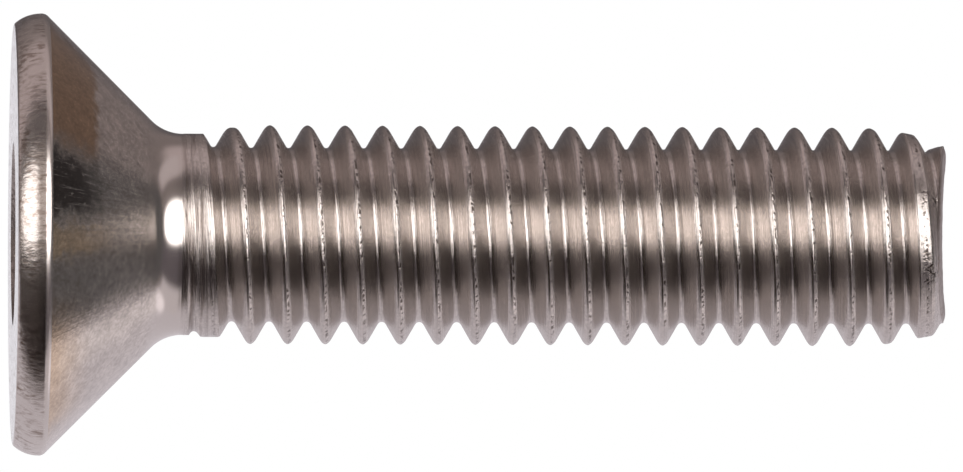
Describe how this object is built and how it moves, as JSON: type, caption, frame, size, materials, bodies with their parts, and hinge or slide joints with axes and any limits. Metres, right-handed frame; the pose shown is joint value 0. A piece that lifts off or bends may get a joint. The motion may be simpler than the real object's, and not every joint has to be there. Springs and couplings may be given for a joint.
{
  "type": "countersunk socket screw",
  "caption": "Stainless countersunk screw with a hexagon socket, a 90 degree head and a rolled thread along its whole shank",
  "frame": {"origin": "centre of the head's flat face, which stands on the floor", "axes": "+Z runs along the screw from the head to the tip; a corner of the hexagon socket lies 14 degrees from the X axis towards Y"},
  "size_m": [0.0118, 0.0118, 0.0249],
  "materials": {
    "stainless_steel": "satin"
  },
  "bodies": {
    "root": {"screw": "stainless_steel"}
  },
  "joints": []
}
